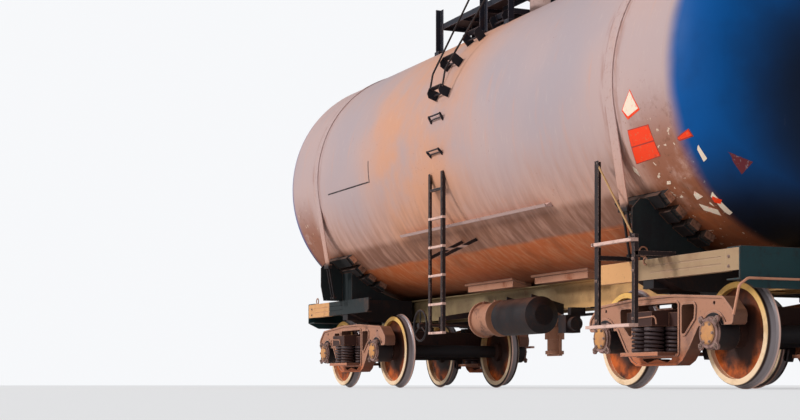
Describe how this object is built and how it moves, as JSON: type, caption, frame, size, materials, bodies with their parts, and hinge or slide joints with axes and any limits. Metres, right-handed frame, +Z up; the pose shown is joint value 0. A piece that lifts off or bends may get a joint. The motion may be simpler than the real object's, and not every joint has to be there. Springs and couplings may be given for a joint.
{
  "type": "four-axle railway tank car",
  "caption": "Railway tank car: a round-ended tank strapped in saddles on a sill frame, riding on two sprung bogies, with ladders, top hatch platform, bottom outlet and automatic couplers.",
  "frame": {"origin": "middle of the car, level with the bottom of the wheel flanges", "axes": "+X along the car towards end a, +Y across it to the side without the hand brake, +Z up"},
  "size_m": [12.27, 3.3838, 5.088],
  "materials": {
    "tank_paint": "satin, weathered",
    "head_paint": "satin, sprayed edge",
    "frame_paint": "semi-matt, dusty",
    "sill_paint": "semi-matt, dusty",
    "dark_paint": "semi-matt, worn",
    "platform_paint": "matt",
    "hatch_paint": "matt, stained",
    "bracket_paint": "matt, dusty",
    "timber": "weathered, bare",
    "bogie_casting": "dusty rust",
    "box_casting": "dusty rust",
    "spring_steel": "oily, dark",
    "brake_casting": "dark, oily",
    "drum_paint": "matt, dusty",
    "valve_casting": "rusty, stained",
    "coupler_casting": "rust brown",
    "wheel_steel": "bright rim, rusted web"
  },
  "bodies": {
    "car_body": {"tank_barrel": "tank_paint", "tie_band_a": "tank_paint", "tie_band_b": "tank_paint", "drip_rails": "tank_paint", "tank_head_a": "head_paint", "tank_head_b": "head_paint", "saddle_a": "frame_paint", "saddle_b": "frame_paint", "end_beam_a": "frame_paint", "end_beam_b": "frame_paint", "bolster_beam_a": "frame_paint", "bolster_beam_b": "frame_paint", "side_sills": "sill_paint", "centre_sill": "sill_paint", "saddle_timbers": "timber", "anchor_brackets": "bracket_paint", "side_ladder_near": "dark_paint", "side_ladder_far": "dark_paint", "tank_steps": "dark_paint", "step_handrails": "dark_paint", "end_steps": "dark_paint", "uncoupling_levers": "dark_paint", "handbrake_wheel": "dark_paint", "platform_deck": "platform_paint", "platform_posts": "platform_paint", "hatch_neck": "hatch_paint", "relief_valve": "hatch_paint", "outlet_valve": "valve_casting", "air_distributor": "valve_casting", "brake_cylinder": "drum_paint", "air_reservoir": "drum_paint", "brake_rigging": "brake_casting", "brake_pipe": "brake_casting"},
    "hatch_lid": {"hatch_lid": "hatch_paint"},
    "coupler_a": {"coupler_a": "coupler_casting"},
    "coupler_b": {"coupler_b": "coupler_casting"},
    "bogie_a": {"side_frames_a": "bogie_casting", "axle_boxes_a": "box_casting", "bogie_bolster_a": "bogie_casting", "springs_a": "spring_steel", "brake_beams_a": "brake_casting"},
    "bogie_b": {"side_frames_b": "bogie_casting", "axle_boxes_b": "box_casting", "bogie_bolster_b": "bogie_casting", "springs_b": "spring_steel", "brake_beams_b": "brake_casting"},
    "wheelset_1": {"wheelset_1": "wheel_steel"},
    "wheelset_2": {"wheelset_2": "wheel_steel"},
    "wheelset_3": {"wheelset_3": "wheel_steel"},
    "wheelset_4": {"wheelset_4": "wheel_steel"}
  },
  "joints": [
    {"name": "bogie_a_swivel", "type": "hinge", "parent": "car_body", "child": "bogie_a", "pos_m": [3.9, 0, 0.834], "axis": [0, 0, 1], "range_deg": [-4, 4]},
    {"name": "bogie_b_swivel", "type": "hinge", "parent": "car_body", "child": "bogie_b", "pos_m": [-3.9, 0, 0.834], "axis": [0, 0, 1], "range_deg": [-4, 4]},
    {"name": "wheelset_1_spin", "type": "hinge", "parent": "bogie_a", "child": "wheelset_1", "pos_m": [4.825, 0, 0.503], "axis": [0, 1, 0], "continuous": true},
    {"name": "wheelset_2_spin", "type": "hinge", "parent": "bogie_a", "child": "wheelset_2", "pos_m": [2.975, 0, 0.503], "axis": [0, 1, 0], "continuous": true},
    {"name": "wheelset_3_spin", "type": "hinge", "parent": "bogie_b", "child": "wheelset_3", "pos_m": [-2.975, 0, 0.503], "axis": [0, 1, 0], "continuous": true},
    {"name": "wheelset_4_spin", "type": "hinge", "parent": "bogie_b", "child": "wheelset_4", "pos_m": [-4.825, 0, 0.503], "axis": [0, 1, 0], "continuous": true},
    {"name": "hatch_hinge", "type": "hinge", "parent": "car_body", "child": "hatch_lid", "pos_m": [-0.384, 0, 4.758], "axis": [0, -1, 0], "range_deg": [0, 105]},
    {"name": "coupler_a_swing", "type": "hinge", "parent": "car_body", "child": "coupler_a", "pos_m": [5.01, 0, 1.088], "axis": [0, 0, 1], "range_deg": [-8, 8]},
    {"name": "coupler_b_swing", "type": "hinge", "parent": "car_body", "child": "coupler_b", "pos_m": [-5.01, 0, 1.088], "axis": [0, 0, 1], "range_deg": [-8, 8]}
  ]
}
